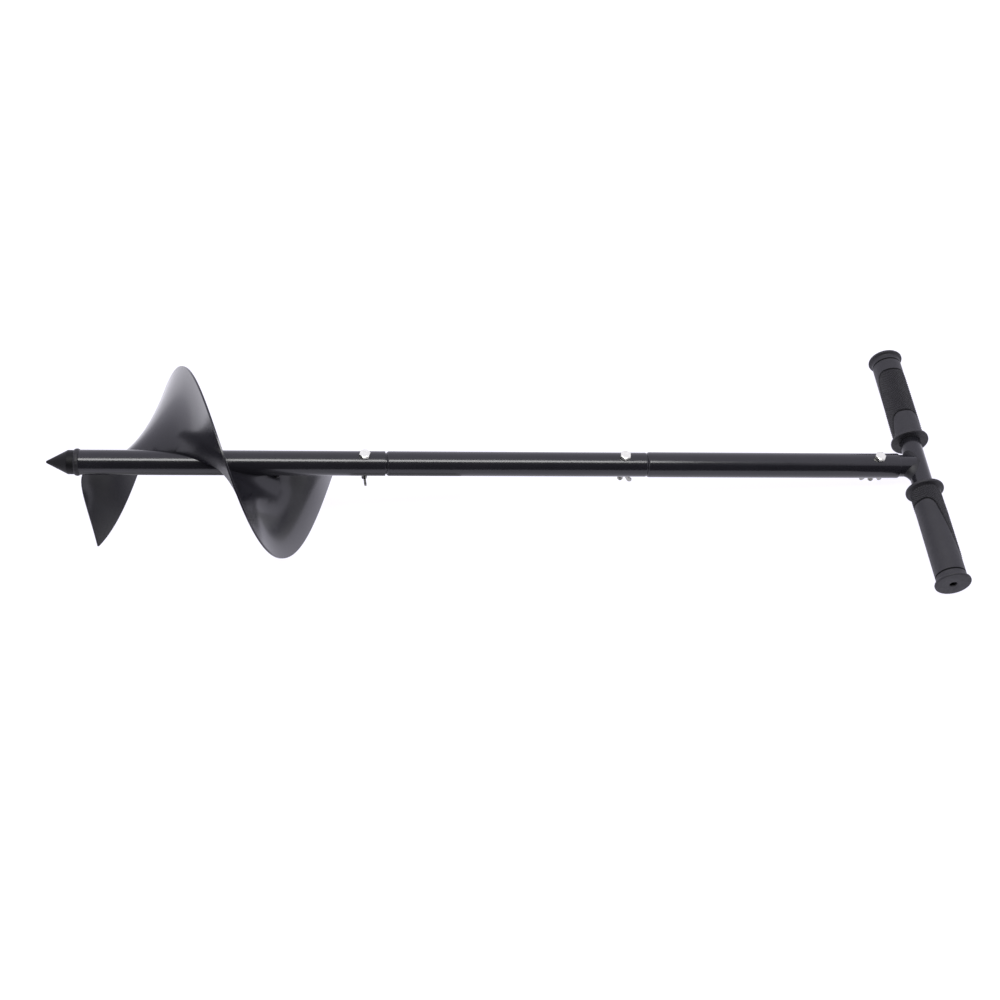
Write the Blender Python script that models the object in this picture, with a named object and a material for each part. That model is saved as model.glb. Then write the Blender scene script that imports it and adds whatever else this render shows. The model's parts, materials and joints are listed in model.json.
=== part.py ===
"""Hand garden auger, lying at rest on level ground: a spiral bit, two extension rods and a T handle.

Metres, +Z up. The shaft runs towards +X from the point to the handle, and the crossbar lies along Y.
The auger rests on the rim of its flight and on the inner flanges of its grips, so the shaft slopes
down towards the handle. The origin is at the bottom centre of the auger's box.

The pieces are modelled in the shaft's own frame: X is the station along the shaft, measured from
the tip of the point, Y runs along the crossbar, and Z is the way that the bolts' heads face.
"""

import math

import bmesh
import bpy
from mathutils import Vector

MM = 0.001
GAP = 0.3 * MM                  # clearance between neighbouring solids
ROUND_SIDES = 32
SMALL_SIDES = 20

# Shaft: tubes that plug into each other, each joint held by a cross bolt
TUBE_RADII = (12.7 * MM, 12.7 * MM, 13.2 * MM)          # bit tube, lower rod, upper rod
TUBE_BORES = (11.2 * MM, 11.2 * MM, 12.0 * MM)
BIT_RADIUS = TUBE_RADII[0]
BIT_CLEARANCE = BIT_RADIUS + GAP
JOINT_STATIONS = (337.7 * MM, 609.8 * MM, 883.1 * MM)   # where each outer tube ends
JOINT_CHAMFERS = (0.4 * MM, 1.0 * MM, 1.0 * MM)         # outside chamfer of each of those ends
JOINT_SLITS = (0.6 * MM, 0.3 * MM)                      # from each end to the next rod's shoulder
SHOULDER_LENGTHS = (2.8 * MM, 2.2 * MM)
BOLT_SETBACKS = (21.1 * MM, 24.1 * MM, 23.1 * MM)
TUBE_WALL = 1.5 * MM
PLUG_RADIUS = TUBE_BORES[0] - GAP
PLUG_BORE = PLUG_RADIUS - TUBE_WALL
PLUG_LENGTH = 42.0 * MM
STEM_RADIUS = TUBE_BORES[2] - GAP
STEM_BORE = STEM_RADIUS - TUBE_WALL

# Point
CONE_LENGTH = 21.5 * MM
APEX_RADIUS = 1.6 * MM
COLLAR_RADIUS = 12.2 * MM
COLLAR_END = 29.6 * MM
BIT_TUBE_START = 31.2 * MM
POINT_PLUG_END = 46.0 * MM
POINT_WELD_STATION = 30.5 * MM
POINT_WELD_WIDTH = 5.6 * MM
POINT_WELD_RADIUS = 14.0 * MM

# Flight: a pulled spiral sheet, dished so that its rim stands nearer the handle than its root
FLIGHT_RADIUS = 97.0 * MM
FLIGHT_PITCH = 207.1 * MM
FLIGHT_STATION = 110.1 * MM     # station of the rim where it faces +Y
FLIGHT_RAKE = 0.3025            # station lost per unit of radius, from the rim inwards
FLIGHT_DISH = 1.24              # bulge of the sheet between rim and root, per metre
FLIGHT_THICKNESS = 2.0 * MM
LEADING_CUT_ANGLE = math.radians(-120.3)
LEADING_CUT_OFFSET = 8.4 * MM   # the straight leading cut passes this far beside the axis
TRAILING_ANGLE = math.radians(307.0)
FLIGHT_STEPS = 72
FLIGHT_RINGS = 6
TACK_ANGLES = tuple(math.radians(a) for a in (-76.0, -8.0, 57.0, 152.0, 247.0, 300.0))
TACK_RADIUS = 3.2 * MM
TACK_LIFT = 0.8 * MM            # the blob's centre, out from the foot of the flight
TACK_STANDOFF = 2.6 * MM        # and off the sheet's middle surface

# Handle
CROSSBAR_STATION = 905.35 * MM
CROSSBAR_RADIUS = 11.0 * MM
CROSSBAR_HALF = 147.3 * MM
STEM_RAW_END = CROSSBAR_STATION - 5.5 * MM
WELD_RING_RADIUS = 10.9 * MM    # of the bead's centre line round the stem's axis
WELD_SIDE_RADIUS = 4.5 * MM
WELD_CROWN_RADIUS = 2.3 * MM
WELD_STEPS = 40
WELD_SIDES = 10
GRIP_INNER = 31.7 * MM
GRIP_OUTER = 151.9 * MM
GRIP_BORE = CROSSBAR_RADIUS + GAP
GRIP_RADIUS = 15.65 * MM
GRIP_TIP_HOLE = 3.85 * MM
GRIP_TIP_WALL = 4.2 * MM
FLANGE_RADIUS = 20.0 * MM
FLANGE_WIDTH = 3.6 * MM
FLANGE_FILLET = 1.6 * MM
TIP_RIM_RADIUS = 18.5 * MM
TIP_RIM_WIDTH = 3.0 * MM
TIP_RIM_FILLET = 2.4 * MM
RIM_ROUNDING = 0.7 * MM

# M6 bolts with hexagon heads, and the wing nuts on their tails
BOLT_RADIUS = 3.0 * MM
BOLT_HOLE_RADIUS = BOLT_RADIUS + GAP
BOLT_TAIL = -23.5 * MM
BOLT_TAIL_CHAMFER = 0.6 * MM
HEAD_HEIGHT = 4.0 * MM
HEAD_ACROSS_FLATS = 10.0 * MM
HEAD_CHAMFER = 0.5 * MM
HEAD_TURNS = tuple(math.radians(a) for a in (12.0, 22.0, 4.0))
NUT_BASE_RADIUS = 5.0 * MM
NUT_TOP_RADIUS = 4.2 * MM
NUT_HEIGHT = 3.6 * MM
WING_ROOT = 3.8 * MM            # where each wing leaves the nut's wall
WING_ROOT_EDGES = (-0.5 * MM, -3.4 * MM)
WING_EAR_CENTRE = (9.7 * MM, -8.0 * MM)
WING_EAR_RADIUS = 2.6 * MM
WING_EAR_ANGLES = (52.0, -150.0)
WING_THICKNESS = 2.2 * MM
WING_OFFSET = 1.0 * MM          # each wing lies this far beside the nut's axis
NUT_TURNS = tuple(math.radians(a) for a in (-79.0, -13.0, 6.0))

FINISHES = {                    # base colour, roughness, metallic
    "gloss_black": ((0.018, 0.018, 0.021), 0.32, 0.0),
    "matte_black": ((0.014, 0.014, 0.016), 0.60, 0.0),
    "grip_rubber": ((0.045, 0.045, 0.048), 0.75, 0.0),
    "zinc": ((0.72, 0.73, 0.74), 0.30, 1.0),
}


def clear_scene():
    for obj in list(bpy.data.objects):
        bpy.data.objects.remove(obj, do_unlink=True)


def finish_material(piece_name, finish):
    colour, roughness, metallic = FINISHES[finish]
    material = bpy.data.materials.new(f"{piece_name}_{finish}")
    material.use_nodes = True
    shader = material.node_tree.nodes["Principled BSDF"]
    shader.inputs["Base Color"].default_value = (*colour, 1.0)
    shader.inputs["Roughness"].default_value = roughness
    shader.inputs["Metallic"].default_value = metallic
    return material


def add_object(name, data, parent, finish=None):
    obj = bpy.data.objects.new(name, data)
    bpy.context.scene.collection.objects.link(obj)
    obj.parent = parent
    if finish:
        data.materials.append(finish_material(name, finish))
    return obj


def add_cutter(name, mesh, parent):
    cutter = add_object(name, mesh, parent)
    cutter.hide_render = True
    cutter.display_type = "WIRE"
    return cutter


def apply_boolean(obj, other, operation="DIFFERENCE"):
    modifier = obj.modifiers.new(f"{operation.lower()}_{other.name}", "BOOLEAN")
    modifier.object = other
    modifier.operation = operation


def mesh_from(name, bm):
    """The bmesh as a mesh whose faces point out, shaded smooth up to its sharp edges."""
    bmesh.ops.recalc_face_normals(bm, faces=bm.faces)
    mesh = bpy.data.meshes.new(name)
    bm.to_mesh(mesh)
    bm.free()
    mesh.shade_smooth()
    mesh.set_sharp_from_angle(angle=math.radians(35))
    return mesh


def turned_mesh(name, profile, axis="X", sides=ROUND_SIDES, phase=0.0):
    """A body turned about an axis from (along, radius) points.

    A profile whose ends lie on the axis gives a solid. Any other is closed into a ring.
    """
    bm = bmesh.new()
    rings = []
    for along, radius in profile:
        if radius == 0.0:
            rings.append([bm.verts.new(axis_point(axis, along, 0.0, 0.0))])
            continue
        angles = [phase + math.tau * i / sides for i in range(sides)]
        rings.append([bm.verts.new(axis_point(axis, along, radius, a)) for a in angles])
    is_solid = len(rings[0]) == 1
    pairs = list(zip(rings, rings[1:]))
    if not is_solid:
        pairs.append((rings[-1], rings[0]))
    for first, second in pairs:
        for i in range(sides):
            j = (i + 1) % sides
            corners = [first[i % len(first)], first[j % len(first)],
                       second[j % len(second)], second[i % len(second)]]
            bm.faces.new(list(dict.fromkeys(corners)))
    return mesh_from(name, bm)


def axis_point(axis, along, radius, angle):
    across = radius * math.cos(angle)
    up = radius * math.sin(angle)
    return {"X": (along, across, up), "Y": (across, along, up), "Z": (across, up, along)}[axis]


def cylinder_mesh(name, axis, start, end, radius, sides=ROUND_SIDES):
    return turned_mesh(name, [(start, 0.0), (start, radius), (end, radius), (end, 0.0)], axis, sides)


def arc(centre, radius, start, end, steps):
    """Points along an arc, in degrees, for a turned profile."""
    angles = [math.radians(start + (end - start) * i / steps) for i in range(steps + 1)]
    return [(centre[0] + radius * math.cos(a), centre[1] + radius * math.sin(a)) for a in angles]


# --- point -------------------------------------------------------------------------------------

def build_point(shaft):
    slope = math.atan2(COLLAR_RADIUS, CONE_LENGTH)
    apex = arc((APEX_RADIUS, 0.0), APEX_RADIUS, 180.0, 90.0 + math.degrees(slope), 4)
    apex[0] = (0.0, 0.0)
    profile = apex + [
        (CONE_LENGTH, COLLAR_RADIUS),
        (COLLAR_END, COLLAR_RADIUS),
        (COLLAR_END, PLUG_RADIUS),
        (POINT_PLUG_END, PLUG_RADIUS),
        (POINT_PLUG_END, 0.0),
    ]
    add_object("auger_point", turned_mesh("auger_point", profile), shaft, "matte_black")


def build_point_weld(shaft):
    half = POINT_WELD_WIDTH / 2
    crown = POINT_WELD_RADIUS - BIT_CLEARANCE
    bead = [(POINT_WELD_STATION + half * along, BIT_CLEARANCE + crown * out)
            for along, out in arc((0.0, 0.0), 1.0, 0.0, 180.0, 6)]
    add_object("point_weld", turned_mesh("point_weld", bead), shaft, "gloss_black")


# --- flight ------------------------------------------------------------------------------------

def flight_point(angle, radius):
    """A point of the flight's middle surface. The angle turns from +Y towards +Z."""
    rim_station = FLIGHT_STATION + FLIGHT_PITCH * angle / math.tau
    inset = FLIGHT_RADIUS - radius
    bulge = FLIGHT_DISH * inset * (radius - BIT_RADIUS)
    station = rim_station - FLIGHT_RAKE * inset + bulge
    return Vector((station, radius * math.cos(angle), radius * math.sin(angle)))


def flight_normal(angle, radius):
    """Unit normal of the sheet, on the side that faces the handle."""
    step = 1e-4
    along = flight_point(angle + step, radius) - flight_point(angle - step, radius)
    outward = flight_point(angle, radius + step) - flight_point(angle, radius - step)
    return outward.cross(along).normalized()


def leading_angle(radius):
    return LEADING_CUT_ANGLE + math.asin(LEADING_CUT_OFFSET / radius)


def flight_mesh(name, thickness, overrun=0.0):
    """The sheet as a closed solid; overrun carries its edges on, which only a cutter needs."""
    bm = bmesh.new()
    inner = BIT_CLEARANCE - overrun
    outer = FLIGHT_RADIUS + overrun
    sides = []
    for offset in (-thickness / 2, thickness / 2):
        rows = []
        for i in range(FLIGHT_STEPS + 1):
            row = []
            for j in range(FLIGHT_RINGS + 1):
                radius = inner + (outer - inner) * j / FLIGHT_RINGS
                start = leading_angle(radius) - overrun / radius
                end = TRAILING_ANGLE + overrun / radius
                angle = start + (end - start) * i / FLIGHT_STEPS
                place = flight_point(angle, radius) + offset * flight_normal(angle, radius)
                row.append(bm.verts.new(place))
            rows.append(row)
        sides.append(rows)
    back, front = sides
    for i in range(FLIGHT_STEPS):
        for j in range(FLIGHT_RINGS):
            for rows in (back, front):
                bm.faces.new([rows[i][j], rows[i + 1][j], rows[i + 1][j + 1], rows[i][j + 1]])
        for j in (0, FLIGHT_RINGS):
            bm.faces.new([back[i][j], front[i][j], front[i + 1][j], back[i + 1][j]])
    for i in (0, FLIGHT_STEPS):
        for j in range(FLIGHT_RINGS):
            bm.faces.new([back[i][j], front[i][j], front[i][j + 1], back[i][j + 1]])
    return mesh_from(name, bm)


def build_flight(shaft):
    return add_object("flight", flight_mesh("flight", FLIGHT_THICKNESS), shaft, "gloss_black")


def build_flight_tacks(shaft):
    """Short weld blobs in the corner between the tube and the handle side of the flight."""
    clear_of_tube = cylinder_mesh("clear_of_tube", "X", 0.0, JOINT_STATIONS[0], BIT_CLEARANCE)
    tube_cutter = add_cutter("tube_clearance", clear_of_tube, shaft)
    thick_sheet = flight_mesh("clear_of_flight", FLIGHT_THICKNESS + 2 * GAP, overrun=GAP)
    sheet_cutter = add_cutter("flight_clearance", thick_sheet, shaft)
    for number, angle in enumerate(TACK_ANGLES, start=1):
        bm = bmesh.new()
        bmesh.ops.create_uvsphere(bm, u_segments=14, v_segments=9, radius=TACK_RADIUS)
        name = f"flight_weld_{number}"
        tack = add_object(name, mesh_from(name, bm), shaft, "gloss_black")
        root = BIT_CLEARANCE + TACK_LIFT
        tack.location = flight_point(angle, root) + TACK_STANDOFF * flight_normal(angle, root)
        apply_boolean(tack, tube_cutter)
        apply_boolean(tack, sheet_cutter)


# --- tubes -------------------------------------------------------------------------------------

def open_end(joint):
    """Outer end of the tube that a joint's plug enters: outside chamfer, then into the bore."""
    station, radius, chamfer = JOINT_STATIONS[joint], TUBE_RADII[joint], JOINT_CHAMFERS[joint]
    return [
        (station - chamfer, radius),
        (station, radius - chamfer),
        (station, TUBE_BORES[joint]),
    ]


def swaged_plug(joint):
    """Plug end of a rod: bore, plug and rounded shoulder, up to the rod's full radius."""
    rise = TUBE_RADII[joint + 1] - PLUG_RADIUS
    length = SHOULDER_LENGTHS[joint]
    plug_end = JOINT_STATIONS[joint] - PLUG_LENGTH
    shoulder_start = JOINT_STATIONS[joint] + JOINT_SLITS[joint]
    shoulder_end = shoulder_start + length
    shoulder = [(shoulder_end + length * along, PLUG_RADIUS + rise * out)
                for along, out in arc((0.0, 0.0), 1.0, 180.0, 90.0, 4)]
    inside = [
        (shoulder_end + TUBE_WALL, TUBE_BORES[joint + 1]),
        (shoulder_start + TUBE_WALL, PLUG_BORE),
        (plug_end, PLUG_BORE),
        (plug_end, PLUG_RADIUS),
    ]
    return inside + shoulder


def build_bit_tube(shaft):
    profile = [(BIT_TUBE_START, TUBE_BORES[0]), (BIT_TUBE_START, BIT_RADIUS)] + open_end(0)
    return add_object("bit_tube", turned_mesh("bit_tube", profile), shaft, "gloss_black")


def build_rod(name, start_joint, shaft):
    """A rod that plugs into one joint and whose other end takes the next joint's plug."""
    profile = swaged_plug(start_joint) + open_end(start_joint + 1)
    return add_object(name, turned_mesh(name, profile), shaft, "gloss_black")


def build_stem(shaft, saddle_cutter):
    """Plain tube that plugs into the upper rod, its other end cut to sit on the crossbar."""
    start = JOINT_STATIONS[2] - PLUG_LENGTH
    profile = [(start, STEM_BORE), (start, STEM_RADIUS),
               (STEM_RAW_END, STEM_RADIUS), (STEM_RAW_END, STEM_BORE)]
    stem = add_object("handle_stem", turned_mesh("handle_stem", profile), shaft, "gloss_black")
    apply_boolean(stem, saddle_cutter)
    return stem


def bolt_stations():
    return [joint - setback for joint, setback in zip(JOINT_STATIONS, BOLT_SETBACKS)]


def drill_bolt_hole(number, station, tubes, shaft):
    mesh = cylinder_mesh(f"bolt_hole_{number}", "Z", -2 * BIT_RADIUS, 2 * BIT_RADIUS,
                         BOLT_HOLE_RADIUS, SMALL_SIDES)
    drill = add_cutter(f"bolt_drill_{number}", mesh, shaft)
    drill.location.x = station
    for tube in tubes:
        apply_boolean(tube, drill)


# --- handle ------------------------------------------------------------------------------------

def build_saddle_cutter(shaft):
    mesh = cylinder_mesh("saddle", "Y", -CROSSBAR_HALF, CROSSBAR_HALF, CROSSBAR_RADIUS + GAP, 48)
    cutter = add_cutter("crossbar_clearance", mesh, shaft)
    cutter.location.x = CROSSBAR_STATION
    return cutter


def build_crossbar(shaft):
    bore = CROSSBAR_RADIUS - TUBE_WALL
    profile = [(-CROSSBAR_HALF, bore), (-CROSSBAR_HALF, CROSSBAR_RADIUS),
               (CROSSBAR_HALF, CROSSBAR_RADIUS), (CROSSBAR_HALF, bore)]
    crossbar = add_object("crossbar", turned_mesh("crossbar", profile, "Y"), shaft, "gloss_black")
    crossbar.location.x = CROSSBAR_STATION


def build_handle_weld(shaft, saddle_cutter):
    """Fillet bead along the saddle curve where the stem meets the crossbar."""
    bm = bmesh.new()
    rings = []
    for i in range(WELD_STEPS):
        around = math.tau * i / WELD_STEPS
        across = WELD_RING_RADIUS * math.cos(around)
        up = WELD_RING_RADIUS * math.sin(around)
        station = CROSSBAR_STATION - math.sqrt(CROSSBAR_RADIUS ** 2 - up ** 2)
        centre = Vector((station, across, up))
        outward = Vector((0.0, math.cos(around), math.sin(around)))
        size = WELD_CROWN_RADIUS + (WELD_SIDE_RADIUS - WELD_CROWN_RADIUS) * math.cos(around) ** 2
        ring = []
        for j in range(WELD_SIDES):
            turn = math.tau * j / WELD_SIDES
            offset = Vector((1.0, 0.0, 0.0)) * math.cos(turn) + outward * math.sin(turn)
            ring.append(bm.verts.new(centre + size * offset))
        rings.append(ring)
    for first, second in zip(rings, rings[1:] + rings[:1]):
        for j in range(WELD_SIDES):
            k = (j + 1) % WELD_SIDES
            bm.faces.new([first[j], first[k], second[k], second[j]])
    weld = add_object("handle_weld", mesh_from("handle_weld", bm), shaft, "gloss_black")
    stem_clearance = cylinder_mesh("stem_clearance", "X", JOINT_STATIONS[2], STEM_RAW_END + GAP,
                                   STEM_RADIUS + GAP, 48)
    apply_boolean(weld, add_cutter("stem_clearance", stem_clearance, shaft))
    apply_boolean(weld, saddle_cutter)


def grip_profile():
    """Half section of a rubber grip: flange, sleeve, rim and a tip wall with a vent hole."""
    flange_end = GRIP_INNER + FLANGE_WIDTH
    rim_start = GRIP_OUTER - TIP_RIM_WIDTH
    edge = RIM_ROUNDING
    flange = [
        (GRIP_INNER, GRIP_BORE),
        (GRIP_INNER, FLANGE_RADIUS - edge),
        (GRIP_INNER + edge, FLANGE_RADIUS),
        (flange_end - edge, FLANGE_RADIUS),
        (flange_end, FLANGE_RADIUS - edge),
        (flange_end + FLANGE_FILLET / 4, GRIP_RADIUS + 0.75 * FLANGE_FILLET),
        (flange_end + FLANGE_FILLET, GRIP_RADIUS),
    ]
    rim = [
        (rim_start - TIP_RIM_FILLET, GRIP_RADIUS),
        (rim_start - TIP_RIM_FILLET / 4, GRIP_RADIUS + 0.4 * TIP_RIM_FILLET),
        (rim_start, TIP_RIM_RADIUS - edge),
        (rim_start + edge, TIP_RIM_RADIUS),
        (GRIP_OUTER - edge, TIP_RIM_RADIUS),
        (GRIP_OUTER, TIP_RIM_RADIUS - edge),
    ]
    tip_hole = [
        (GRIP_OUTER, GRIP_TIP_HOLE),
        (GRIP_OUTER - GRIP_TIP_WALL, GRIP_TIP_HOLE),
        (GRIP_OUTER - GRIP_TIP_WALL, GRIP_BORE),
    ]
    return flange + rim + tip_hole


def build_grips(shaft):
    for name, side in (("grip_front", -1), ("grip_back", 1)):
        profile = [(side * along, radius) for along, radius in grip_profile()]
        grip = add_object(name, turned_mesh(name, profile, "Y", 40), shaft, "grip_rubber")
        grip.location.x = CROSSBAR_STATION


# --- bolts and wing nuts -----------------------------------------------------------------------

def build_bolt(number, station, seat, head_turn, shaft):
    """Hexagon-headed bolt, its origin where its axis crosses the shaft's axis."""
    top = seat + HEAD_HEIGHT
    inside_head = seat + HEAD_HEIGHT / 2
    shank = [
        (BOLT_TAIL, 0.0),
        (BOLT_TAIL, BOLT_RADIUS - BOLT_TAIL_CHAMFER),
        (BOLT_TAIL + BOLT_TAIL_CHAMFER, BOLT_RADIUS),
        (inside_head, BOLT_RADIUS),
        (inside_head, 0.0),
    ]
    name = f"bolt_{number}"
    bolt = add_object(name, turned_mesh(name, shank, "Z", SMALL_SIDES), shaft, "zinc")
    bolt.location.x = station
    corner = HEAD_ACROSS_FLATS / math.sqrt(3.0)
    head_profile = [
        (seat, 0.0),
        (seat, corner),
        (top - HEAD_CHAMFER, corner),
        (top, corner - 1.5 * HEAD_CHAMFER),
        (top, 0.0),
    ]
    head_mesh = turned_mesh(f"{name}_head", head_profile, "Z", 6, phase=head_turn)
    apply_boolean(bolt, add_cutter(f"{name}_head", head_mesh, bolt), "UNION")
    return bolt


def wing_mesh(name):
    """One wing as a flat plate with a round ear, beside the nut's axis and along its own +X."""
    upper, lower = WING_ROOT_EDGES
    outline = [(WING_ROOT, upper), *arc(WING_EAR_CENTRE, WING_EAR_RADIUS, *WING_EAR_ANGLES, 8),
               (WING_ROOT, lower)]
    bm = bmesh.new()
    faces = []
    for across in (-WING_OFFSET - WING_THICKNESS / 2, -WING_OFFSET + WING_THICKNESS / 2):
        faces.append([bm.verts.new((along, across, up)) for along, up in outline])
    near, far = faces
    bm.faces.new(near)
    bm.faces.new(far)
    for i in range(len(outline)):
        bm.faces.new([near[i - 1], near[i], far[i], far[i - 1]])
    return mesh_from(name, bm)


def build_wing_nut(number, seat, turn, bolt):
    """Wing nut, its origin on the bolt's axis in the face that bears on the tube."""
    name = f"wing_nut_{number}"
    body = [
        (0.0, BOLT_HOLE_RADIUS),
        (0.0, NUT_BASE_RADIUS),
        (-NUT_HEIGHT, NUT_TOP_RADIUS),
        (-NUT_HEIGHT, BOLT_HOLE_RADIUS),
    ]
    nut = add_object(name, turned_mesh(name, body, "Z", SMALL_SIDES), bolt, "zinc")
    nut.location.z = -seat
    nut.rotation_euler.z = turn
    for side, half_turn in (("a", 0.0), ("b", math.pi)):
        wing_name = f"{name}_wing_{side}"
        wing = add_cutter(wing_name, wing_mesh(wing_name), nut)
        wing.rotation_euler.z = half_turn
        apply_boolean(nut, wing, "UNION")


# --- assembly ----------------------------------------------------------------------------------

def resting_slope(flight):
    """Slope of the shaft with the flight's rim and the flanges of the grips on level ground."""
    slopes = []
    for vertex in flight.data.vertices:
        reach = CROSSBAR_STATION - vertex.co.x
        distance = math.hypot(reach, vertex.co.z)
        slopes.append(math.atan2(-vertex.co.z, reach) - math.asin(FLANGE_RADIUS / distance))
    return max(slopes)


def lay_on_ground(shaft, flight):
    """Tilts the shaft into its resting pose, with the origin at the bottom centre of its box."""
    slope = resting_slope(flight)
    length = CROSSBAR_STATION * math.cos(slope) + FLANGE_RADIUS
    height = CROSSBAR_STATION * math.sin(slope) + FLANGE_RADIUS
    shaft.location = (-length / 2, 0.0, height)
    shaft.rotation_euler.y = slope


def build_auger():
    clear_scene()
    shaft = add_object("shaft_frame", None, None)
    build_point(shaft)
    build_point_weld(shaft)
    flight = build_flight(shaft)
    build_flight_tacks(shaft)
    saddle_cutter = build_saddle_cutter(shaft)
    tubes = [
        build_bit_tube(shaft),
        build_rod("lower_rod", 0, shaft),
        build_rod("upper_rod", 1, shaft),
        build_stem(shaft, saddle_cutter),
    ]
    build_crossbar(shaft)
    build_handle_weld(shaft, saddle_cutter)
    build_grips(shaft)
    for index, station in enumerate(bolt_stations()):
        number = index + 1
        drill_bolt_hole(number, station, tubes[index:index + 2], shaft)
        seat = TUBE_RADII[index] + GAP
        bolt = build_bolt(number, station, seat, HEAD_TURNS[index], shaft)
        build_wing_nut(number, seat, NUT_TURNS[index], bolt)
    lay_on_ground(shaft, flight)


build_auger()
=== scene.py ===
"""A hand garden auger at rest on a pale studio floor.

The visible surfaces are modelled in the shaft's own frame: X is the station along the shaft, from
the tip of the point, Y runs along the crossbar, and Z is the way that the bolts' heads face.
"""
import json
import math

import bmesh
import bpy
from mathutils import Matrix, Vector, noise


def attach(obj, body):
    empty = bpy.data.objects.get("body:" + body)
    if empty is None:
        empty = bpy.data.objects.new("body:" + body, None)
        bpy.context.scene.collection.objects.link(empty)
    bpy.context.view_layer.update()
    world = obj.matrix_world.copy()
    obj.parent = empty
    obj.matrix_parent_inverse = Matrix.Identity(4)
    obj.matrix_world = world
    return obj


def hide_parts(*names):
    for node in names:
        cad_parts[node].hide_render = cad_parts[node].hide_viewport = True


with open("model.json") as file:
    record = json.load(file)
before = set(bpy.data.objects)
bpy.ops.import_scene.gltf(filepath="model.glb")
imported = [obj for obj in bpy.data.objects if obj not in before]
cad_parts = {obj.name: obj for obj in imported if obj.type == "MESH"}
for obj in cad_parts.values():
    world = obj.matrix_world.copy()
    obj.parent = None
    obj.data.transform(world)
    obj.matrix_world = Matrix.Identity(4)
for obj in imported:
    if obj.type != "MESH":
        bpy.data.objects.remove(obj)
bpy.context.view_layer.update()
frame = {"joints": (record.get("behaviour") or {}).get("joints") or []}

MM = 0.001
ROUND_SIDES = 96
SHARP_DEGREES = 35.0
SOFT_SHARP_DEGREES = 60.0               # for lumpy welds, which stay smooth
LUMP_SCALE = 3.0                        # noise around a ring of weld
GAP = 0.3 * MM                          # between neighbours that touch on the real tool

# Shaft
TUBE_WALL = 1.5 * MM
TUBE_RADII = (12.7 * MM, 12.7 * MM, 13.2 * MM)          # bit tube, lower rod, upper rod
TUBE_BORES = (11.2 * MM, 11.2 * MM, 12.0 * MM)
BIT_RADIUS = TUBE_RADII[0]
JOINT_STATIONS = (337.7 * MM, 609.8 * MM, 883.1 * MM)   # where each outer tube ends
END_ROUNDINGS = (0.5 * MM, 1.35 * MM, 1.0 * MM)         # outside rounding of each of those ends
JOINT_SLITS = (1.3 * MM, 0.05 * MM)                     # from each end to the next rod's shoulder
SHOULDER_LENGTHS = (2.4 * MM, 3.2 * MM)
SHOULDER_STEPS = 10
SHOULDER_RADII = (11.5 * MM, 11.6 * MM)                 # where each shoulder starts
PLUG_RADIUS = 10.9 * MM
PLUG_BORE = PLUG_RADIUS - TUBE_WALL
PLUG_LENGTH = 42.0 * MM
STEM_RADIUS = 11.7 * MM
STEM_BORE = STEM_RADIUS - TUBE_WALL
BORE_ROUNDING = 0.1 * MM
EDGE_RING = 0.3 * MM                    # from a rounding to the ring that holds its shading
HOLE_RING = 1.0 * MM                    # from a cross hole to the rings that hold its shading
BOLT_STATIONS = (316.6 * MM, 585.7 * MM, 860.0 * MM)
BOLT_HOLE_RADIUS = 3.3 * MM
BOLT_HOLE_SIDES = 48

# Point
CONE_LENGTH = 21.5 * MM
APEX_RADIUS = 1.6 * MM
COLLAR_RADIUS = 12.2 * MM
COLLAR_END = 29.6 * MM
COLLAR_ROUNDING = 0.35 * MM
CONE_CORNER = 0.8 * MM                  # length of the softened corner between cone and collar
BIT_TUBE_START = 31.2 * MM
POINT_PLUG_END = 46.0 * MM
POINT_WELD_STATION = 30.5 * MM
POINT_WELD_HALF = 2.8 * MM
POINT_WELD_ROOT = 12.5 * MM
POINT_WELD_RADIUS = 13.95 * MM
POINT_WELD_RIPPLES = 26
POINT_WELD_SLANT = 1.6                  # how far the ripples lean round the bead, in radians
POINT_WELD_SIDES = 180
POINT_WELD_STEPS = 12

# Flight
FLIGHT_RADIUS = 97.0 * MM
FLIGHT_ROOT = 12.2 * MM                 # just inside the tube
FLIGHT_PITCH = 207.1 * MM
FLIGHT_STATION = 110.1 * MM
FLIGHT_RAKE = 0.3025
FLIGHT_DISH = 1.24                      # per metre
FLIGHT_THICKNESS = 2.0 * MM
FLIGHT_EDGE = 0.45 * MM
LEADING_CUT_ANGLE = math.radians(-120.3)
LEADING_CUT_OFFSET = 8.4 * MM
TRAILING_ANGLE = math.radians(307.0)
FLIGHT_STEPS = 300
FLIGHT_RINGS = 28
TACK_ANGLES = tuple(math.radians(a) for a in (-76.0, -8.0, 57.0, 152.0, 247.0, 300.0))
TACK_RADIUS = 3.1 * MM
TACK_LIFT = 0.8 * MM
TACK_STANDOFF = 2.4 * MM
TACK_LUMP = 0.35 * MM
TACK_LUMP_SCALE = 2.2
TACK_LUMP_CONTRAST = 1.6
TACK_SEED_STEP = 7.0                    # how far apart two tacks sample the noise

# Handle
CROSSBAR_STATION = 905.35 * MM
CROSSBAR_RADIUS = 11.0 * MM
CROSSBAR_HALF = 147.3 * MM
STEM_UNCUT_END = CROSSBAR_STATION - 4.0 * MM            # before the crossbar's saddle is cut
WELD_SIDE_LEG = 6.4 * MM
WELD_CROWN_LEG = 4.6 * MM
WELD_FULLNESS = 0.5                     # 0 curves in to the seam, 1 is a flat bevel
WELD_SINK = 0.15 * MM
WELD_DEPTH = 0.9 * MM
WELD_LUMP = 0.06                        # share of the leg
WELD_TURNS = 240
WELD_STEPS = 14
GRIP_INNER = 31.7 * MM
GRIP_OUTER = 151.9 * MM
GRIP_BORE = 11.3 * MM
GRIP_RADIUS = 15.65 * MM
VENT_RADIUS = 3.85 * MM
TIP_WALL = 4.2 * MM
FLANGE_RADIUS = 20.0 * MM
FLANGE_END = 35.3 * MM
FLANGE_ROUNDING = 1.3 * MM
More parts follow.
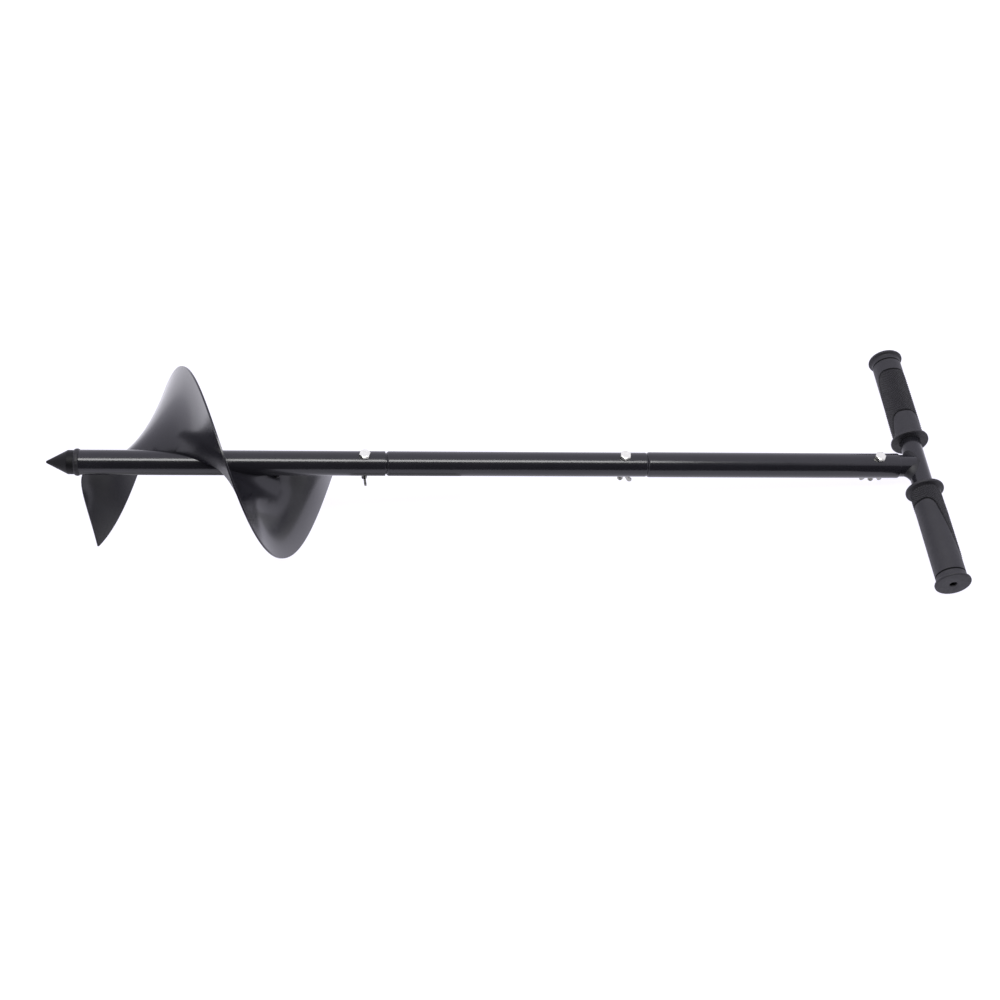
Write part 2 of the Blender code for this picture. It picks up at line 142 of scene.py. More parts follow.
FLANGE_DISH = 0.5 * MM
FLANGE_LIP = 3.2 * MM
NECK_RADIUS = 14.6 * MM
SLEEVE_ROUNDING = 0.8 * MM
SLEEVE_START = 37.6 * MM
SLEEVE_END = 147.2 * MM
RIM_START = 148.9 * MM
RIM_RADIUS = 18.5 * MM
RIM_ROUNDING = 1.3 * MM
CREASE_RADIUS = 1.3 * MM
VENT_ROUNDING = 0.5 * MM

# Grip pattern: raised diamonds between two smooth panels, each panel edged by a groove
DIAMONDS_AROUND = 36
CELLS_PER_DIAMOND = 8
DIAMOND_PITCH = math.tau * GRIP_RADIUS / DIAMONDS_AROUND
DIAMOND_HEIGHT = 1.05 * MM
DIAMOND_STEEPNESS = 1.45                # over 1, the pyramids are cut off flat
KNURL_END = 126.0 * MM
LONG_PANEL_START = 52.5 * MM
LONG_PANEL_HALF = math.radians(64.0) * GRIP_RADIUS      # half width at the reference station
LONG_PANEL_REFERENCE = 61.0 * MM
LONG_PANEL_FLARE = 0.2185                               # growth of the half width, per length
SHORT_PANEL_END = 66.0 * MM
SHORT_PANEL_HALF = math.radians(53.0) * GRIP_RADIUS
SHORT_PANEL_REFERENCE = 64.0 * MM
SHORT_PANEL_FLARE = 0.2868
PANEL_CORNER = 9.0 * MM
EDGE_GROOVE_HALF = 0.85 * MM
EDGE_GROOVE_DEPTH = 2.6 * MM
RING_GROOVE = 142.0 * MM
RING_GROOVE_HALF = 0.85 * MM
RING_GROOVE_DEPTH = 2.6 * MM
FINE_RINGS_END = KNURL_END + 2.0 * MM
PLAIN_RINGS = ((130.0, 1.5, 8), (141.1, 0.15, 13), (143.5, 1.0, 3))     # first, step (mm), count
GRIP_SHARP_DEGREES = 45.0
PANEL_TURNS = {"grip_front": (153.0, 333.0), "grip_back": (280.0, 100.0)}

# Bolts and wing nuts
BOLT_RADIUS = 3.0 * MM
BOLT_TAIL = -23.5 * MM
BOLT_TAIL_ROUNDING = 0.6 * MM
THREAD_TOP = -13.4 * MM
THREAD_PITCH = 1.0 * MM
THREAD_DEPTH = 0.55 * MM
HEAD_HEIGHT = 4.0 * MM
HEAD_ACROSS_FLATS = 10.0 * MM
HEAD_FLAT_RADIUS = 4.65 * MM
HEAD_CHAMFER = math.tan(math.radians(30.0))
HEAD_UNDERCUT = (0.2 * MM, 0.3 * MM)    # inset and height of the edge under the head
HEAD_TURNS = tuple(math.radians(a) for a in (12.0, 22.0, 4.0))
BOLT_SIDES = 96
RINGS_PER_THREAD = 10
BOLT_SHARP_DEGREES = 25.0
NUT_SIDES = 64
NUT_BASE_RADIUS = 5.0 * MM
NUT_TOP_RADIUS = 4.2 * MM
NUT_HEIGHT = 3.6 * MM
WING_ROOT = 3.8 * MM
WING_ROOT_EDGES = (-0.5 * MM, -3.4 * MM)
WING_EAR_CENTRE = (9.7 * MM, -8.0 * MM)
WING_EAR_RADIUS = 2.6 * MM
WING_EAR_ANGLES = (52.0, -150.0)
WING_EAR_STEPS = 28
WING_THICKNESS = 2.2 * MM
WING_OFFSET = 1.0 * MM
WING_EDGE = 0.6 * MM
NUT_TURNS = tuple(math.radians(a) for a in (-79.0, -13.0, 6.0))

# Camera, in the shaft's frame
CAMERA_PLACE = Vector((285.4, -915.4, 1156.3)) * MM
CAMERA_RIGHT = Vector((0.99337, -0.0678, 0.0929))
CAMERA_UP = Vector((-0.00159, 0.7996, 0.6006))
CAMERA_LENS = 51.66

# Studio, in world metres
FLOOR_HALF = 6.0
FLOOR_DROP = 0.2 * MM
FLOOR_GLOW = 0.96
ROOM_LEFT = -2.6
ROOM_RIGHT = 2.6
ROOM_FRONT = -1.9
ROOM_TOP = 2.3
TOP_CARD_BACK = -0.05
TOP_CARD_RIGHT = (1.35, 0.95)           # its slanting side: at the front, at the back
SIDE_CARD_RIGHT = (1.85, 1.15)
FOOT_CARD_BACK = -0.85
# half depth of the painted-shadow cards on the floor under the flight
SHADOW_CARD_HALF = 0.1


def shaft_matrix():
    """Places the shaft's frame by the first bolt, whose axis crosses the shaft at a known station."""
    joint = next(j for j in frame["joints"] if j["name"] == "bolt_1_spin")
    up = Vector(joint["axis"]).normalized()
    across = Vector((0.0, 1.0, 0.0))
    along = across.cross(up)
    turn = Matrix((along, across, up)).transposed().to_4x4()
    origin = Vector(joint["pos_m"]) - BOLT_STATIONS[0] * along
    return Matrix.Translation(origin) @ turn


SHAFT = shaft_matrix()


# --- materials -----------------------------------------------------------------------------------

def shader_material(name, colour, roughness, metallic=0.0, specular=0.5):
    material = bpy.data.materials.new(name)
    material.use_nodes = True
    shader = material.node_tree.nodes["Principled BSDF"]
    shader.inputs["Base Color"].default_value = (*colour, 1.0)
    shader.inputs["Roughness"].default_value = roughness
    shader.inputs["Metallic"].default_value = metallic
    shader.inputs["Specular IOR Level"].default_value = specular
    return material


def noise_node(material, scale, detail, roughness=0.5):
    nodes, links = material.node_tree.nodes, material.node_tree.links
    place = nodes.get("Texture Coordinate") or nodes.new("ShaderNodeTexCoord")
    texture = nodes.new("ShaderNodeTexNoise")
    texture.inputs["Scale"].default_value = scale
    texture.inputs["Detail"].default_value = detail
    texture.inputs["Roughness"].default_value = roughness
    links.new(place.outputs["Object"], texture.inputs["Vector"])
    return texture


def vary_roughness(material, scale, low, high):
    nodes, links = material.node_tree.nodes, material.node_tree.links
    texture = noise_node(material, scale, 3.0)
    spread = nodes.new("ShaderNodeMapRange")
    spread.inputs["From Min"].default_value = 0.3
    spread.inputs["From Max"].default_value = 0.7
    spread.inputs["To Min"].default_value = low
    spread.inputs["To Max"].default_value = high
    links.new(texture.outputs["Fac"], spread.inputs["Value"])
    links.new(spread.outputs["Result"], nodes["Principled BSDF"].inputs["Roughness"])


def vary_colour(material, scale, dark, light):
    nodes, links = material.node_tree.nodes, material.node_tree.links
    texture = noise_node(material, scale, 4.0)
    ramp = nodes.new("ShaderNodeValToRGB")
    ramp.color_ramp.elements[0].position = 0.35
    ramp.color_ramp.elements[0].color = (*dark, 1.0)
    ramp.color_ramp.elements[1].position = 0.65
    ramp.color_ramp.elements[1].color = (*light, 1.0)
    links.new(texture.outputs["Fac"], ramp.inputs["Fac"])
    links.new(ramp.outputs["Color"], nodes["Principled BSDF"].inputs["Base Color"])


def add_bumps(material, layers):
    """Stacks bump layers of (scale, detail, strength, depth), the coarsest first."""
    nodes, links = material.node_tree.nodes, material.node_tree.links
    below = None
    for scale, detail, strength, depth in layers:
        texture = noise_node(material, scale, detail)
        bump = nodes.new("ShaderNodeBump")
        bump.inputs["Strength"].default_value = strength
        bump.inputs["Distance"].default_value = depth
        links.new(texture.outputs["Fac"], bump.inputs["Height"])
        if below:
            links.new(below.outputs["Normal"], bump.inputs["Normal"])
        below = bump
    links.new(below.outputs["Normal"], nodes["Principled BSDF"].inputs["Normal"])


def make_powder_coat():
    """Semi-gloss black powder coat with its faint orange peel."""
    material = shader_material("powder_coat", (0.0125, 0.0122, 0.0150), 0.19)
    vary_colour(material, 40.0, (0.0115, 0.0112, 0.0138), (0.0135, 0.0132, 0.0162))
    vary_roughness(material, 25.0, 0.17, 0.21)
    add_bumps(material, [(60.0, 2.0, 0.2, 0.15 * MM), (700.0, 2.0, 0.05, 0.001 * MM)])
    return material


def make_weld_coat():
    """The same coat over a rough weld bead."""
    material = shader_material("weld_coat", (0.0125, 0.0122, 0.0140), 0.5, specular=0.35)
    vary_roughness(material, 200.0, 0.46, 0.54)
    add_bumps(material, [(350.0, 2.0, 0.3, 0.15 * MM)])
    return material


def make_point_coat():
    """Dull black paint over forged steel."""
    material = shader_material("point_coat", (0.0035, 0.0035, 0.0040), 0.5, specular=0.2)
    vary_colour(material, 120.0, (0.0028, 0.0028, 0.0032), (0.0044, 0.0044, 0.0050))
    vary_roughness(material, 90.0, 0.42, 0.58)
    add_bumps(material, [(180.0, 4.0, 0.4, 0.15 * MM), (1500.0, 2.0, 0.3, 0.04 * MM)])
    return material


def make_grip_rubber():
    """Charcoal moulded rubber with a fine dull grain."""
    material = shader_material("grip_rubber", (0.0205, 0.0198, 0.0230), 0.54, specular=0.38)
    vary_colour(material, 55.0, (0.0190, 0.0183, 0.0213), (0.0220, 0.0213, 0.0247))
    vary_roughness(material, 300.0, 0.48, 0.60)
    add_bumps(material, [(1400.0, 3.0, 0.35, 0.05 * MM)])
    return material


def make_zinc(name, brightness):
    """Zinc plate, slightly clouded."""
    tint = Vector((1.0, 1.0, 0.9))
    material = shader_material(name, brightness * tint, 0.3, metallic=1.0)
    vary_colour(material, 400.0, 0.93 * brightness * tint, 1.05 * brightness * tint)
    vary_roughness(material, 500.0, 0.26, 0.38)
    add_bumps(material, [(700.0, 3.0, 0.25, 0.05 * MM)])
    return material


# --- mesh helpers --------------------------------------------------------------------------------

def mesh_from(name, bm, sharp_degrees=SHARP_DEGREES):
    bmesh.ops.recalc_face_normals(bm, faces=bm.faces)
    mesh = bpy.data.meshes.new(name)
    bm.to_mesh(mesh)
    bm.free()
    mesh.shade_smooth()
    mesh.set_sharp_from_angle(angle=math.radians(sharp_degrees))
    return mesh


def add_piece(name, mesh, body, nodes, material, local=None):
    """Links a piece whose mesh is modelled in the shaft's frame, or in a local frame within it."""
    mesh.transform(SHAFT @ local if local else SHAFT)
    mesh.materials.append(material)
    piece = bpy.data.objects.new(name, mesh)
    bpy.context.scene.collection.objects.link(piece)
    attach(piece, body)
    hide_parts(*nodes)
    return piece


def ring_points(axis, along, radius, sides):
    angles = [math.tau * i / sides for i in range(sides)]
    return [axis_point(axis, along, radius, a) for a in angles]


def axis_point(axis, along, radius, angle):
    across = radius * math.cos(angle)
    up = radius * math.sin(angle)
    return {"X": (along, across, up), "Y": (up, along, across), "Z": (across, up, along)}[axis]


def bridge_rings(bm, rings, closed_end=False):
    """Faces between neighbouring rings of vertices; a ring of one vertex makes a fan."""
    pairs = list(zip(rings, rings[1:]))
    if closed_end:
        pairs.append((rings[-1], rings[0]))
    for first, second in pairs:
        sides = max(len(first), len(second))
        for i in range(sides):
            j = (i + 1) % sides
            corners = [first[i % len(first)], first[j % len(first)],
                       second[j % len(second)], second[i % len(second)]]
            bm.faces.new(list(dict.fromkeys(corners)))


def turned_mesh(name, profile, axis="X", sides=ROUND_SIDES):
    """A body turned about an axis from (along, radius) points. Ends off the axis close into a ring."""
    bm = bmesh.new()
    rings = []
    for along, radius in profile:
        count = 1 if radius == 0.0 else sides
        rings.append([bm.verts.new(p) for p in ring_points(axis, along, radius, count)])
    bridge_rings(bm, rings, closed_end=len(rings[0]) > 1)
    return mesh_from(name, bm)


def solid_rod(name, half, radius, axis, sides=ROUND_SIDES):
    """A plain round rod, centred on the origin, for cutting with."""
    profile = [(-half, 0.0), (-half, radius), (half, radius), (half, 0.0)]
    return turned_mesh(name, profile, axis, sides)


def arc(centre, radius, start, end, steps):
    """Points along an arc, in degrees, for a turned profile."""
    angles = [math.radians(start + (end - start) * i / steps) for i in range(steps + 1)]
    return [(centre[0] + radius * math.cos(a), centre[1] + radius * math.sin(a)) for a in angles]


def round_edges(piece, width):
    bevel = piece.modifiers.new("rounded_edge", "BEVEL")
    bevel.width = width
    bevel.segments = 3
    bevel.limit_method = "ANGLE"
    bevel.angle_limit = math.radians(50.0)


def cut_away(piece, mesh, local):
    """Cuts a mesh out of a piece and keeps only the result."""
    cutter = bpy.data.objects.new("cutter", mesh)
    bpy.context.scene.collection.objects.link(cutter)
    cutter.matrix_world = SHAFT @ local
    modifier = piece.modifiers.new("cut", "BOOLEAN")
    modifier.object = cutter
    modifier.operation = "DIFFERENCE"
    bpy.context.view_layer.update()
    graph = bpy.context.evaluated_depsgraph_get()
    made = bpy.data.meshes.new_from_object(piece.evaluated_get(graph))
    made.set_sharp_from_angle(angle=math.radians(SHARP_DEGREES))
    piece.modifiers.clear()
    piece.data = made
    bpy.data.objects.remove(cutter)


# --- point ---------------------------------------------------------------------------------------

def build_point(coat, weld_coat):
    slope = math.degrees(math.atan2(COLLAR_RADIUS, CONE_LENGTH))
    apex = arc((APEX_RADIUS, 0.0), APEX_RADIUS, 180.0, 90.0 + slope, 8)
    apex[0] = (0.0, 0.0)
    shoulder = [
        (CONE_LENGTH - CONE_CORNER, COLLAR_RADIUS - CONE_CORNER * math.tan(math.radians(slope))),
        (CONE_LENGTH - CONE_CORNER / 4, COLLAR_RADIUS - CONE_CORNER / 8),
        (CONE_LENGTH + CONE_CORNER / 2, COLLAR_RADIUS),
    ]
    profile = apex + shoulder + [
        (COLLAR_END - COLLAR_ROUNDING, COLLAR_RADIUS),
        (COLLAR_END, COLLAR_RADIUS - COLLAR_ROUNDING),
        (COLLAR_END, PLUG_RADIUS),
        (POINT_PLUG_END, PLUG_RADIUS),
        (POINT_PLUG_END, 0.0),
    ]
    cone = turned_mesh("point_cone", profile)
    add_piece("point_cone", cone, "auger", ["auger_point"], coat)
    bead = point_weld_mesh()
    add_piece("point_weld_bead", bead, "auger", ["point_weld"], weld_coat)


def point_weld_mesh():
    """Rippled ring of weld over the seam between the point and the tube."""
    bm = bmesh.new()
    height = POINT_WELD_RADIUS - POINT_WELD_ROOT
    rings = []
    for j in range(POINT_WELD_STEPS + 1):
        turn = math.pi * j / POINT_WELD_STEPS
        slant = POINT_WELD_SLANT * math.cos(turn)
        ring = []
        for i in range(POINT_WELD_SIDES):
            around = math.tau * i / POINT_WELD_SIDES
            ripple = 0.5 + 0.5 * math.cos(POINT_WELD_RIPPLES * around + slant)
            lump = noise.noise(LUMP_SCALE * Vector((math.cos(around), math.sin(around), 0.0)))
            crown = height * (0.80 + 0.12 * ripple + 0.08 * lump)
            half = POINT_WELD_HALF * (0.92 + 0.08 * lump)
            along = POINT_WELD_STATION + half * math.cos(turn)
            radius = POINT_WELD_ROOT + crown * math.sin(turn)
            ring.append(bm.verts.new(axis_point("X", along, radius, around)))
        rings.append(ring)
    bridge_rings(bm, rings, closed_end=True)
    return mesh_from("point_weld_bead", bm, SOFT_SHARP_DEGREES)


# --- flight --------------------------------------------------------------------------------------

def flight_point(angle, radius):
    """A point of the flight's middle surface. The angle turns from +Y towards +Z."""
    rim_station = FLIGHT_STATION + FLIGHT_PITCH * angle / math.tau
    inset = FLIGHT_RADIUS - radius
    bulge = FLIGHT_DISH * inset * (radius - BIT_RADIUS)
    station = rim_station - FLIGHT_RAKE * inset + bulge
    return Vector((station, radius * math.cos(angle), radius * math.sin(angle)))


def flight_normal(angle, radius):
    """Unit normal of the sheet, on the side that faces the handle."""
    step = 1e-4
    along = flight_point(angle + step, radius) - flight_point(angle - step, radius)
    outward = flight_point(angle, radius + step) - flight_point(angle, radius - step)
    return outward.cross(along).normalized()


def leading_angle(radius):
    return LEADING_CUT_ANGLE + math.asin(LEADING_CUT_OFFSET / radius)


def flight_mesh():
    bm = bmesh.new()
    sides = []
    for offset in (-FLIGHT_THICKNESS / 2, FLIGHT_THICKNESS / 2):
        rows = []
        for i in range(FLIGHT_STEPS + 1):
            row = []
            for j in range(FLIGHT_RINGS + 1):
                radius = FLIGHT_ROOT + (FLIGHT_RADIUS - FLIGHT_ROOT) * j / FLIGHT_RINGS
                start = leading_angle(radius)
                angle = start + (TRAILING_ANGLE - start) * i / FLIGHT_STEPS
                place = flight_point(angle, radius) + offset * flight_normal(angle, radius)
                row.append(bm.verts.new(place))
            rows.append(row)
        sides.append(rows)
    back, front = sides
    for i in range(FLIGHT_STEPS):
        for j in range(FLIGHT_RINGS):
            for rows in (back, front):
                bm.faces.new([rows[i][j], rows[i + 1][j], rows[i + 1][j + 1], rows[i][j + 1]])
        for j in (0, FLIGHT_RINGS):
            bm.faces.new([back[i][j], front[i][j], front[i + 1][j], back[i + 1][j]])
    for i in (0, FLIGHT_STEPS):
        for j in range(FLIGHT_RINGS):
            bm.faces.new([back[i][j], front[i][j], front[i][j + 1], back[i][j + 1]])
    return mesh_from("flight_sheet", bm)


def build_flight(coat, weld_coat):
    sheet = add_piece("flight_sheet", flight_mesh(), "auger", ["flight"], coat)
    round_edges(sheet, FLIGHT_EDGE)
    root = BIT_RADIUS + GAP + TACK_LIFT
    for number, angle in enumerate(TACK_ANGLES, start=1):
        centre = flight_point(angle, root) + TACK_STANDOFF * flight_normal(angle, root)
        mesh = tack_mesh(f"flight_tack_{number}", number)
        add_piece(f"flight_tack_{number}", mesh, "auger", [f"flight_weld_{number}"], weld_coat,
                  Matrix.Translation(centre))


def tack_mesh(name, seed):
    """A lumpy blob of weld."""
    bm = bmesh.new()
    bmesh.ops.create_icosphere(bm, subdivisions=4, radius=TACK_RADIUS - TACK_LUMP)
    for vertex in bm.verts:
        direction = vertex.co.normalized()
        lump = noise.noise(direction * TACK_LUMP_SCALE + Vector((TACK_SEED_STEP * seed, 0.0, 0.0)))
        vertex.co += direction * TACK_LUMP * max(-1.0, min(1.0, TACK_LUMP_CONTRAST * lump))
    return mesh_from(name, bm, SOFT_SHARP_DEGREES)


# --- tubes ---------------------------------------------------------------------------------------

def open_end(joint):
    """Outer end of the tube that a joint's plug enters, its edges rounded."""
    station, rounding = JOINT_STATIONS[joint], END_ROUNDINGS[joint]
    outer = [(station - rounding - EDGE_RING, TUBE_RADII[joint])]
    outer += arc((station - rounding, TUBE_RADII[joint] - rounding), rounding, 90.0, 0.0, 6)
    bore_centre = (station - BORE_ROUNDING, TUBE_BORES[joint] + BORE_ROUNDING)
    return outer + arc(bore_centre, BORE_ROUNDING, 0.0, -90.0, 4)


def swaged_plug(joint):
    """Plug end of a rod: bore, plug and rounded shoulder, up to the rod's full radius."""
    length, start_radius = SHOULDER_LENGTHS[joint], SHOULDER_RADII[joint]
    rise = TUBE_RADII[joint + 1] - start_radius
    plug_end = JOINT_STATIONS[joint] - PLUG_LENGTH
    shoulder_start = JOINT_STATIONS[joint] + JOINT_SLITS[joint]
    shoulder_end = shoulder_start + length
    shoulder = [(shoulder_start, PLUG_RADIUS)]
    for i in range(SHOULDER_STEPS + 1):
        part = i / SHOULDER_STEPS
        radius = start_radius + rise * math.sin(part * math.pi / 2)
        shoulder.append((shoulder_start + length * part, radius))
    shoulder.append((shoulder_end + EDGE_RING, TUBE_RADII[joint + 1]))
    inside = [
        (shoulder_end + TUBE_WALL, TUBE_BORES[joint + 1]),
        (shoulder_start + TUBE_WALL, PLUG_BORE),
        (plug_end, PLUG_BORE),
        (plug_end, PLUG_RADIUS),
    ]
    return inside + shoulder


def rings_near_bolt(index):
    """Extra rings either side of a cross hole, which keep its shading close to it."""
    reach = BOLT_HOLE_RADIUS + HOLE_RING
    return [(BOLT_STATIONS[index] + along, TUBE_RADII[index]) for along in (-reach, reach)]


def build_tubes(coat):
    stem_start = JOINT_STATIONS[2] - PLUG_LENGTH
    profiles = {
        "bit_tube": [(BIT_TUBE_START, TUBE_BORES[0]), (BIT_TUBE_START, BIT_RADIUS)]
        + rings_near_bolt(0) + open_end(0),
        "lower_rod": swaged_plug(0) + rings_near_bolt(1) + open_end(1),
        "upper_rod": swaged_plug(1) + rings_near_bolt(2) + open_end(2),
        "handle_stem": [(stem_start, STEM_BORE), (stem_start, STEM_RADIUS),
                        (STEM_UNCUT_END, STEM_RADIUS), (STEM_UNCUT_END, STEM_BORE)],
    }
    tubes = []
    for node, profile in profiles.items():
        mesh = turned_mesh(f"{node}_skin", profile)
        tubes.append(add_piece(f"{node}_skin", mesh, "auger", [node], coat))
    for index, station in enumerate(BOLT_STATIONS):
        place = Matrix.Translation((station, 0.0, 0.0))
        for tube in tubes[index:index + 2]:
            cut_away(tube, solid_rod("hole", 2 * BIT_RADIUS, BOLT_HOLE_RADIUS, "Z", BOLT_HOLE_SIDES), place)
    place = Matrix.Translation((CROSSBAR_STATION, 0.0, 0.0))
    cut_away(tubes[3], solid_rod("saddle", CROSSBAR_HALF, CROSSBAR_RADIUS, "Y"), place)


# --- handle --------------------------------------------------------------------------------------

def build_handle(coat, weld_coat):
    bore = CROSSBAR_RADIUS - TUBE_WALL
    profile = [(-CROSSBAR_HALF, bore), (-CROSSBAR_HALF, CROSSBAR_RADIUS),
               (CROSSBAR_HALF, CROSSBAR_RADIUS), (CROSSBAR_HALF, bore)]
    tube = turned_mesh("crossbar_tube", profile, "Y")
    place = Matrix.Translation((CROSSBAR_STATION, 0.0, 0.0))
    add_piece("crossbar_tube", tube, "auger", ["crossbar"], coat, place)
    bead = handle_weld_mesh()
    add_piece("handle_weld_bead", bead, "auger", ["handle_weld"], weld_coat)


def crossbar_point(turn, across, radius):
    """A point of the crossbar, turned from the side that faces the stem towards its top."""
    return Vector((CROSSBAR_STATION - radius * math.cos(turn), across, radius * math.sin(turn)))


def handle_weld_section(around, leg):
    """Section of the weld at an angle about the stem: a curved face and a corner hidden in the tubes."""
    across, up = math.cos(around), math.sin(around)
    seam_turn = math.asin(max(-1.0, min(1.0, STEM_RADIUS * up / CROSSBAR_RADIUS)))
    seam = crossbar_point(seam_turn, STEM_RADIUS * across, CROSSBAR_RADIUS)
    seam.z = STEM_RADIUS * up
    sunk = STEM_RADIUS - WELD_SINK
    on_stem = Vector((seam.x - leg, sunk * across, sunk * up))
    on_crossbar = crossbar_point(seam_turn + leg * up / CROSSBAR_RADIUS, (STEM_RADIUS + leg) * across,
                                 CROSSBAR_RADIUS - WELD_SINK)
    pull = seam.lerp((on_stem + on_crossbar) / 2, WELD_FULLNESS)
    face = []
    for i in range(WELD_STEPS + 1):
        part = i / WELD_STEPS
        face.append(on_stem.lerp(pull, part).lerp(pull.lerp(on_crossbar, part), part))
    hidden = seam + WELD_DEPTH * Vector((1.0, -across, -up))
    return face + [hidden]


def handle_weld_mesh():
    """Smooth weld along the saddle curve where the stem meets the crossbar."""
    bm = bmesh.new()
    rings = []
    for i in range(WELD_TURNS):
        around = math.tau * i / WELD_TURNS
        lump = noise.noise(LUMP_SCALE * Vector((math.cos(around), math.sin(around), 0.0)))
        leg = WELD_CROWN_LEG + (WELD_SIDE_LEG - WELD_CROWN_LEG) * math.cos(around) ** 2
        section = handle_weld_section(around, leg * (1.0 + WELD_LUMP * lump))
        rings.append([bm.verts.new(p) for p in section])
    bridge_rings(bm, rings, closed_end=True)
    return mesh_from("handle_weld_bead", bm, SOFT_SHARP_DEGREES)


def rounded_and(a, b, corner):
    """Depth inside both of two regions, with their shared corner rounded."""
    return corner - math.hypot(max(corner - a, 0.0), max(corner - b, 0.0))


def rounded_or(a, b, corner):
    return -rounded_and(-a, -b, corner)


def arc_offset(turn, centre):
    """Distance round the sleeve between two directions, given in degrees."""
    difference = (turn - centre + 180.0) % 360.0 - 180.0
    return math.radians(abs(difference)) * GRIP_RADIUS


def panel_depth(along, turn, panel_turns):
    """Distance inside the nearest smooth panel of a grip; negative among the diamonds."""
    long_turn, short_turn = panel_turns
    long_half = LONG_PANEL_HALF + LONG_PANEL_FLARE * (along - LONG_PANEL_REFERENCE)
    long_side = long_half - arc_offset(turn, long_turn)
    long_panel = rounded_and(along - LONG_PANEL_START, long_side, PANEL_CORNER)
    long_panel = rounded_or(long_panel, along - KNURL_END, PANEL_CORNER)
    short_half = SHORT_PANEL_HALF + SHORT_PANEL_FLARE * (SHORT_PANEL_REFERENCE - along)
    short_side = short_half - arc_offset(turn, short_turn)
    short_panel = rounded_and(SHORT_PANEL_END - along, short_side, PANEL_CORNER)
    return max(long_panel, short_panel)


def groove(distance, half_width, depth):
    """Depth of a rounded groove at a distance from its centre line."""
    return depth * math.sqrt(max(0.0, 1.0 - (distance / half_width) ** 2))


def diamond(along, turn):
    """Height of the raised diamonds: flat-topped pyramids in staggered rows."""
    u = turn / 360.0 * DIAMONDS_AROUND
    v = along / DIAMOND_PITCH
    centred = abs((u % 1.0) - 0.5) + abs((v % 1.0) - 0.5)
    from_peak = min(centred, 1.0 - centred)
    return DIAMOND_HEIGHT * min(1.0, DIAMOND_STEEPNESS * (1.0 - 2.0 * from_peak))


def sleeve_radius(along, turn, panel_turns):
    depth = panel_depth(along, turn, panel_turns)
    radius = GRIP_RADIUS - groove(depth, EDGE_GROOVE_HALF, EDGE_GROOVE_DEPTH)
    radius -= groove(along - RING_GROOVE, RING_GROOVE_HALF, RING_GROOVE_DEPTH)
    if depth < -EDGE_GROOVE_HALF:
        radius += diamond(along, turn) - DIAMOND_HEIGHT / 2
    return radius


def sleeve_stations():
    """Stations along the sleeve: fine through the diamonds and the ring groove, coarse elsewhere."""
    step = DIAMOND_PITCH / CELLS_PER_DIAMOND
    first = math.ceil(SLEEVE_START / step)
    last = math.floor(FINE_RINGS_END / step)
    stations = [i * step for i in range(first, last + 1)]
    for start, spacing, count in PLAIN_RINGS:
        stations += [(start + spacing * i) * MM for i in range(count)]
    return stations


def flange_profile():
    """Inner end of a grip: the bore's mouth, the flange and the neck up to the sleeve."""
    crown = FLANGE_RADIUS - FLANGE_ROUNDING
    face = GRIP_INNER + FLANGE_DISH
    profile = [(face, GRIP_BORE), (face, FLANGE_RADIUS - FLANGE_LIP)]
    profile += arc((GRIP_INNER + FLANGE_ROUNDING, crown), FLANGE_ROUNDING, 180.0, 90.0, 6)
    profile += arc((FLANGE_END - FLANGE_ROUNDING, crown), FLANGE_ROUNDING, 90.0, 0.0, 6)
    profile += [(FLANGE_END + 0.2 * MM, NECK_RADIUS + 0.8 * MM), (FLANGE_END + 0.9 * MM, NECK_RADIUS)]
    start = (SLEEVE_START - 0.2 * MM, GRIP_RADIUS - SLEEVE_ROUNDING)
    return profile + arc(start, SLEEVE_ROUNDING, 170.0, 100.0, 4)


def tip_profile():
    """Outer end of a grip: the crease, the rim, the vent and the wall around it."""
    crown = RIM_RADIUS - RIM_ROUNDING
    profile = arc((SLEEVE_END - 0.2 * MM, GRIP_RADIUS + CREASE_RADIUS), CREASE_RADIUS, 280.0, 340.0, 4)
    profile += arc((RIM_START + RIM_ROUNDING, crown), RIM_ROUNDING, 160.0, 90.0, 5)
    profile += arc((GRIP_OUTER - RIM_ROUNDING, crown), RIM_ROUNDING, 90.0, 0.0, 6)
    vent = (GRIP_OUTER - VENT_ROUNDING, VENT_RADIUS + VENT_ROUNDING)
    profile += arc(vent, VENT_ROUNDING, 0.0, -90.0, 4)
    return profile + [(GRIP_OUTER - TIP_WALL, VENT_RADIUS), (GRIP_OUTER - TIP_WALL, GRIP_BORE)]


def grip_mesh(name, side):
    """A moulded grip about the Y axis; side is the sign of its end along Y."""
    panel_turns = PANEL_TURNS[name]
    sides = DIAMONDS_AROUND * CELLS_PER_DIAMOND
    bm = bmesh.new()
    rings = []
    for along, radius in flange_profile():
        rings.append([bm.verts.new(p) for p in ring_points("Y", side * along, radius, sides)])
    for along in sleeve_stations():
        ring = []
        for i in range(sides):
            turn = 360.0 * i / sides
            radius = sleeve_radius(along, 90.0 - turn, panel_turns)
            ring.append(bm.verts.new(axis_point("Y", side * along, radius, math.radians(turn))))
        rings.append(ring)
    for along, radius in tip_profile():
        rings.append([bm.verts.new(p) for p in ring_points("Y", side * along, radius, sides)])
    bridge_rings(bm, rings, closed_end=True)
    return mesh_from(name, bm, GRIP_SHARP_DEGREES)


def build_grips(rubber):
    place = Matrix.Translation((CROSSBAR_STATION, 0.0, 0.0))
    for node, side in (("grip_front", -1), ("grip_back", 1)):
        mesh = grip_mesh(node, side)
        add_piece(f"{node}_rubber", mesh, "auger", [node], rubber, place)


# --- bolts and wing nuts -------------------------------------------------------------------------

def hexagon_radius(angle, turn):
    """Distance from the bolt's axis to the hexagon's side in a direction."""
    sixth = math.tau / 6
    from_flat = (angle - turn) % sixth - sixth / 2
    return HEAD_ACROSS_FLATS / 2 / math.cos(from_flat)


